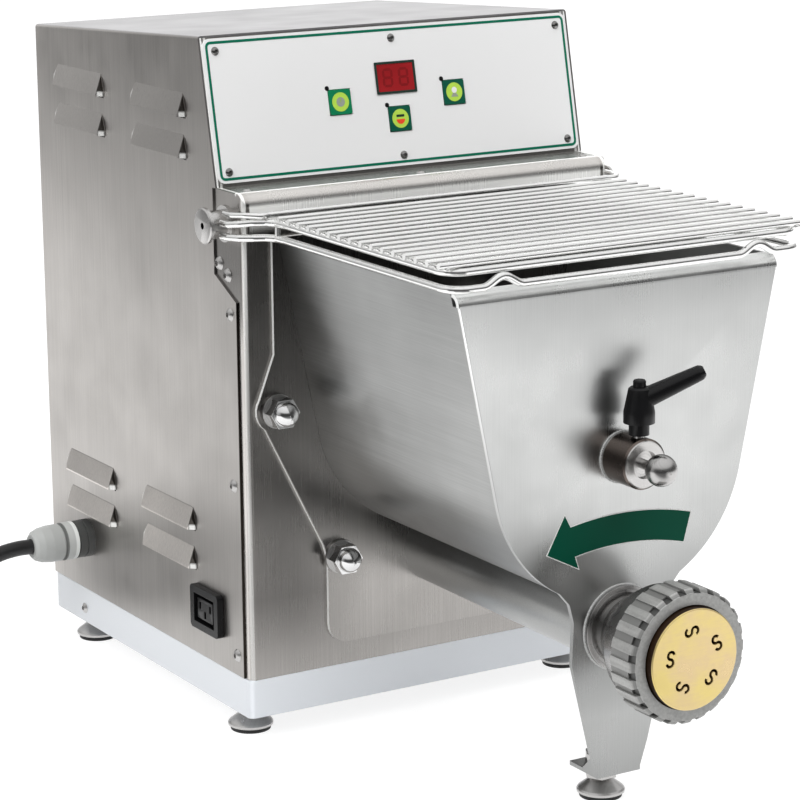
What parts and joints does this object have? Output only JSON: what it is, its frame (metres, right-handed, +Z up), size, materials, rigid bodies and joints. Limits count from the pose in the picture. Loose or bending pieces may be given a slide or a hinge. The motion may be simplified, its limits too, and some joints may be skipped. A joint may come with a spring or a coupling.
{
  "type": "electric pasta maker",
  "caption": "Electric pasta maker: steel drive cabinet with a sloped control panel, open mixing trough under a hinged wire lid, and an extrusion barrel with a screwed brass die.",
  "frame": {"origin": "on the floor below the middle of the machine without its mains lead", "axes": "+X to the machine's right as seen from the front, +Y from the die towards the back of the cabinet, +Z up"},
  "size_m": [0.4772, 0.6622, 0.4257],
  "materials": {
    "tray_paint": "white stove enamel",
    "cabinet_steel": "brushed stainless sheet",
    "label_film": "pale grey printed film",
    "display_lens": "dark red display lens",
    "zinc_steel": "zinc plated",
    "trough_steel": "satin stainless sheet",
    "plate_steel": "satin stainless plate",
    "turned_steel": "turned stainless",
    "chrome_plate": "polished chrome",
    "black_plastic": "moulded black",
    "gland_nylon": "light grey nylon",
    "bearing_steel": "ground steel",
    "bracket_steel": "grey primer",
    "gearcase_aluminium": "die cast",
    "motor_paint": "black enamel",
    "white_plastic": "moulded white",
    "circuit_board": "green laminate",
    "black_rubber": "moulded rubber",
    "wire_steel": "bright stainless wire",
    "die_brass": "turned brass",
    "nut_aluminium": "matt grey casting",
    "button_plastic": "dark green film button",
    "cord_rubber": "black rubber sheath"
  },
  "bodies": {
    "machine": {"base_tray": "tray_paint", "cabinet_cover": "cabinet_steel", "rear_panel": "cabinet_steel", "front_wall": "cabinet_steel", "control_panel": "cabinet_steel", "label_plate": "label_film", "display_window": "display_lens", "status_lights": "display_lens", "panel_screws": "zinc_steel", "cover_screws": "zinc_steel", "hopper_trough": "trough_steel", "rear_flange": "trough_steel", "front_plate": "plate_steel", "auger_barrel": "trough_steel", "outlet_head": "turned_steel", "shaft_boss": "turned_steel", "hopper_studs": "zinc_steel", "stud_washers": "zinc_steel", "acorn_nuts": "chrome_plate", "accessory_outlet": "black_plastic", "cable_gland": "gland_nylon", "hinge_bushes": "turned_steel", "lid_switch": "black_plastic", "shaft_bearings": "bearing_steel", "bearing_plate": "bracket_steel", "gearbox": "gearcase_aluminium", "drive_motor": "motor_paint", "motor_saddle": "bracket_steel", "run_capacitor": "white_plastic", "control_board": "circuit_board", "board_standoffs": "zinc_steel", "terminal_block": "white_plastic", "foot_cones": "zinc_steel", "foot_pads": "black_rubber", "foot_nuts": "zinc_steel", "mains_lead": "cord_rubber", "lead_coil": "cord_rubber", "lead_tail": "cord_rubber", "plug_relief": "cord_rubber", "mains_plug": "black_plastic"},
    "lid": {"lid_grid": "wire_steel", "lid_upper_frame": "wire_steel", "lid_lower_frame": "wire_steel", "lid_hubs": "turned_steel", "lid_cam": "white_plastic"},
    "kneader": {"kneading_arm": "trough_steel", "kneader_shaft": "bearing_steel", "kneader_gear": "bearing_steel"},
    "auger": {"auger_screw": "turned_steel", "auger_shaft": "bearing_steel", "auger_gear": "bearing_steel"},
    "die": {"brass_die": "die_brass"},
    "nut": {"ring_nut": "nut_aluminium"},
    "lever": {"clamp_lever": "black_plastic", "lever_stud": "zinc_steel"},
    "pin": {"lock_pin": "turned_steel", "pin_ball": "chrome_plate"},
    "start_key": {"start_button": "button_plastic"},
    "mode_key": {"mode_button": "button_plastic"},
    "stop_key": {"stop_button": "button_plastic"}
  },
  "joints": [
    {"name": "lid_hinge", "type": "hinge", "parent": "machine", "child": "lid", "pos_m": [0, 0.017, 0.318], "axis": [-1, 0, 0], "range_deg": [0, 85]},
    {"name": "auger_spin", "type": "hinge", "parent": "machine", "child": "auger", "pos_m": [0, -0.104, 0.1065], "axis": [0, -1, 0], "continuous": true},
    {"name": "kneader_spin", "type": "hinge", "parent": "machine", "child": "kneader", "pos_m": [0, -0.104, 0.206], "axis": [0, -1, 0], "continuous": true},
    {"name": "die_slide", "type": "slide", "parent": "machine", "child": "die", "axis": [0, -1, 0], "range_m": [0, 0.015]},
    {"name": "nut_turn", "type": "hinge", "parent": "die", "child": "nut", "pos_m": [0, -0.258, 0.1065], "axis": [0, -1, 0], "range_deg": [0, 2160]},
    {"name": "lever_turn", "type": "hinge", "parent": "machine", "child": "lever", "pos_m": [0, -0.22, 0.238], "axis": [0, 0, 1], "range_deg": [-160, 35]},
    {"name": "pin_pull", "type": "slide", "parent": "machine", "child": "pin", "axis": [0, -1, 0], "range_m": [0, 0.01]},
    {"name": "start_key_press", "type": "slide", "parent": "machine", "child": "start_key", "axis": [0, 0.9785, -0.2062], "range_m": [0, 0.001], "stiffness_N_per_m": 600, "springref_m": -0.0005},
    {"name": "mode_key_press", "type": "slide", "parent": "machine", "child": "mode_key", "axis": [0, 0.9785, -0.2062], "range_m": [0, 0.001], "stiffness_N_per_m": 600, "springref_m": -0.0005},
    {"name": "stop_key_press", "type": "slide", "parent": "machine", "child": "stop_key", "axis": [0, 0.9785, -0.2062], "range_m": [0, 0.001], "stiffness_N_per_m": 600, "springref_m": -0.0005}
  ],
  "couplings": [
    {"joint": "kneader_spin", "follows": "auger_spin", "ratio": -1.2222},
    {"joint": "die_slide", "follows": "nut_turn", "m_per_rad": 0.00039789}
  ]
}
